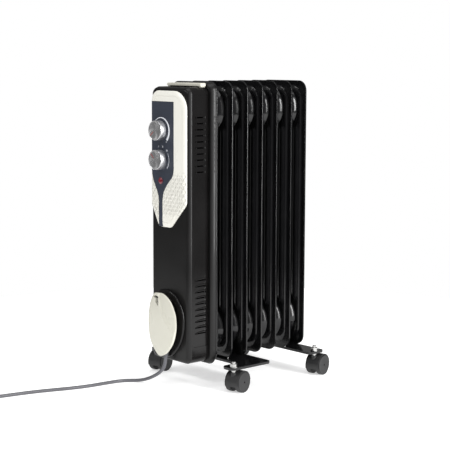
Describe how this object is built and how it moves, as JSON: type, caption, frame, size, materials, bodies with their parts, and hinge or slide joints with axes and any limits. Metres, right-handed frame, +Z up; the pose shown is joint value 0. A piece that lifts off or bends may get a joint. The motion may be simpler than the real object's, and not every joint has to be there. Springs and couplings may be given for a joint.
{
  "type": "oil filled radiator heater",
  "caption": "Freestanding oil filled column radiator with a row of pressed steel fins, a slim control box with dials, a cord winder, and twin-wheel casters.",
  "frame": {"origin": "on the floor, under the centre of the radiator without its cord", "axes": "+Z up; the control panel faces -Y and the row of fins runs back along +Y; +X is to the right of someone who stands in front of the panel and looks at it; X = 0 is the middle of the fins"},
  "size_m": [0.3908, 0.7345, 0.6335],
  "materials": {
    "radiator_black": "gloss",
    "box_black": "gloss",
    "cream_plastic": "semi-gloss",
    "inlay_grey": "satin",
    "knob_metal": "radially brushed",
    "knob_plastic": "satin",
    "steel_zinc": "zinc plated",
    "caster_plastic": "moulded, matt",
    "lens_red": "clear red",
    "cord_grey": "soft vinyl",
    "pin_metal": "nickel plated"
  },
  "bodies": {
    "radiator": {"bottom_cover": "box_black", "caster_nuts": "steel_zinc", "caster_stems": "steel_zinc", "caster_washers": "steel_zinc", "control_bezel": "cream_plastic", "control_insert": "inlay_grey", "cord_coil": "cord_grey", "cord_gland": "box_black", "cord_winder_base": "box_black", "cord_winder_cover": "cream_plastic", "element_flange": "steel_zinc", "fin_1": "radiator_black", "fin_2": "radiator_black", "fin_3": "radiator_black", "fin_4": "radiator_black", "fin_5": "radiator_black", "fin_6": "radiator_black", "fin_7": "radiator_black", "front_foot_plate": "radiator_black", "handle": "cream_plastic", "handle_cup": "box_black", "heating_element": "steel_zinc", "housing_body": "box_black", "housing_front": "box_black", "hub_links": "radiator_black", "indicator_lens": "lens_red", "internal_wiring": "cord_grey", "neon_lamp": "lens_red", "oil_filler_plug": "steel_zinc", "plug_body": "cord_grey", "plug_pins": "pin_metal", "power_cord": "cord_grey", "rear_collar": "box_black", "rear_foot_plate": "radiator_black", "selector_switch": "knob_plastic", "terminal_block": "knob_plastic", "thermal_cutout": "steel_zinc", "thermostat_unit": "knob_plastic", "u_bolts": "steel_zinc", "wing_nuts": "steel_zinc"},
    "thermostat_dial": {"thermostat_knob": "knob_plastic", "thermostat_knob_cap": "knob_metal", "thermostat_shaft": "steel_zinc"},
    "selector_dial": {"selector_knob": "knob_plastic", "selector_knob_cap": "knob_metal", "selector_shaft": "steel_zinc"},
    "caster_front_left": {"caster_hood_front_left": "caster_plastic", "caster_axle_front_left": "steel_zinc"},
    "wheels_front_left": {"caster_wheels_front_left": "caster_plastic"},
    "caster_front_right": {"caster_hood_front_right": "caster_plastic", "caster_axle_front_right": "steel_zinc"},
    "wheels_front_right": {"caster_wheels_front_right": "caster_plastic"},
    "caster_rear_left": {"caster_hood_rear_left": "caster_plastic", "caster_axle_rear_left": "steel_zinc"},
    "wheels_rear_left": {"caster_wheels_rear_left": "caster_plastic"},
    "caster_rear_right": {"caster_hood_rear_right": "caster_plastic", "caster_axle_rear_right": "steel_zinc"},
    "wheels_rear_right": {"caster_wheels_rear_right": "caster_plastic"}
  },
  "joints": [
    {"name": "thermostat_turn", "type": "hinge", "parent": "radiator", "child": "thermostat_dial", "pos_m": [-0.0245, -0.17, 0.534], "axis": [0, 1, 0], "range_deg": [0, 262]},
    {"name": "selector_turn", "type": "hinge", "parent": "radiator", "child": "selector_dial", "pos_m": [-0.0245, -0.17, 0.474], "axis": [0, 1, 0], "range_deg": [0, 90]},
    {"name": "swivel_front_left", "type": "hinge", "parent": "radiator", "child": "caster_front_left", "pos_m": [-0.125, -0.093, 0.03], "axis": [0, 0, 1], "continuous": true},
    {"name": "roll_front_left", "type": "hinge", "parent": "caster_front_left", "child": "wheels_front_left", "pos_m": [-0.12815, -0.07936, 0.0215], "axis": [0.9744, 0.225, 0], "continuous": true},
    {"name": "swivel_front_right", "type": "hinge", "parent": "radiator", "child": "caster_front_right", "pos_m": [0.125, -0.093, 0.03], "axis": [0, 0, 1], "continuous": true},
    {"name": "roll_front_right", "type": "hinge", "parent": "caster_front_right", "child": "wheels_front_right", "pos_m": [0.12185, -0.07936, 0.0215], "axis": [0.9744, 0.225, 0], "continuous": true},
    {"name": "swivel_rear_left", "type": "hinge", "parent": "radiator", "child": "caster_rear_left", "pos_m": [-0.125, 0.14275, 0.03], "axis": [0, 0, 1], "continuous": true},
    {"name": "roll_rear_left", "type": "hinge", "parent": "caster_rear_left", "child": "wheels_rear_left", "pos_m": [-0.12815, 0.15639, 0.0215], "axis": [0.9744, 0.225, 0], "continuous": true},
    {"name": "swivel_rear_right", "type": "hinge", "parent": "radiator", "child": "caster_rear_right", "pos_m": [0.125, 0.14275, 0.03], "axis": [0, 0, 1], "continuous": true},
    {"name": "roll_rear_right", "type": "hinge", "parent": "caster_rear_right", "child": "wheels_rear_right", "pos_m": [0.12185, 0.15639, 0.0215], "axis": [0.9744, 0.225, 0], "continuous": true}
  ]
}
